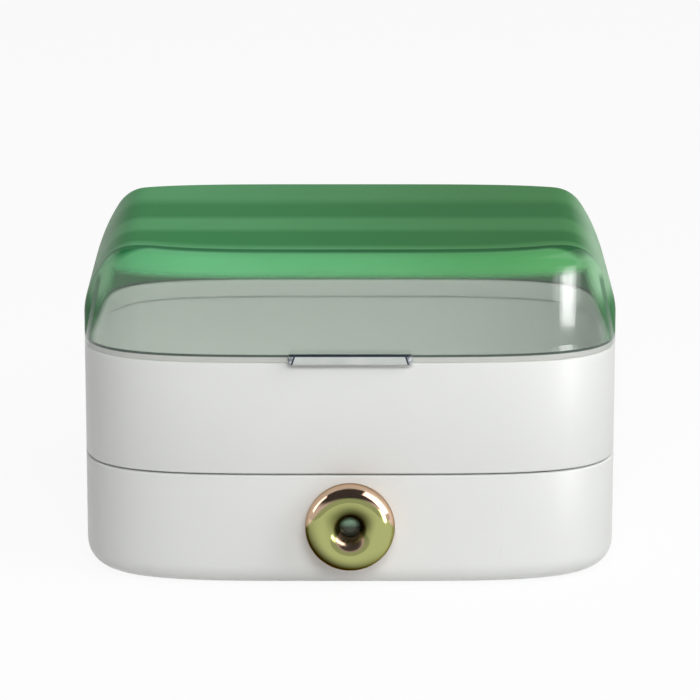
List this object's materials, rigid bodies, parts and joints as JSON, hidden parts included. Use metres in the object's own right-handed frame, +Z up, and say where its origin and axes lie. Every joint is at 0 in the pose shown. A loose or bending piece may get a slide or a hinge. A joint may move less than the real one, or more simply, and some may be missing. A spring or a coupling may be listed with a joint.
{
  "type": "vanity box with drawer",
  "caption": "Rounded two-tier vanity box: clear hinged dust lid over an open divided tray, and a wrap-round drawer with a ring knob.",
  "frame": {"origin": "on the surface that the four feet stand on, midway between the part's sides and midway from the knob's front to the back of the hinge ears", "axes": "+X to the right of the user, along the box's width; +Y to the back, away from the knob; +Z up"},
  "size_m": [0.28, 0.2092, 0.1792],
  "materials": {
    "white_shell": "satin moulded white",
    "white_inner": "satin moulded white",
    "lid_clear": "polished clear, tinted green",
    "pull_clear": "polished clear",
    "knob_gold": "polished champagne gold plating",
    "screw_steel": "zinc plated",
    "foot_rubber": "matte"
  },
  "bodies": {
    "box": {"base_housing": "white_shell", "upper_tray": "white_shell", "tier_screws": "screw_steel", "rubber_feet": "foot_rubber", "tray_long_divider": "white_inner", "tray_left_divider": "white_inner", "tray_right_divider": "white_inner", "hinge_pin_left": "screw_steel", "hinge_pin_right": "screw_steel"},
    "lid": {"lid_shell": "lid_clear", "lid_pull": "pull_clear"},
    "drawer": {"drawer_front": "white_shell", "drawer_box": "white_inner", "drawer_front_screws": "screw_steel", "drawer_left_divider": "white_inner", "drawer_right_divider": "white_inner", "knob_ring": "knob_gold", "knob_stem": "knob_gold", "knob_screw": "screw_steel", "knob_washer": "screw_steel"}
  },
  "joints": [
    {"name": "lid_hinge", "type": "hinge", "parent": "box", "child": "lid", "pos_m": [0, 0.0976, 0.1174], "axis": [-1, 0, 0], "range_deg": [0, 105]},
    {"name": "drawer_slide", "type": "slide", "parent": "box", "child": "drawer", "axis": [0, -1, 0], "range_m": [0, 0.1135]}
  ]
}
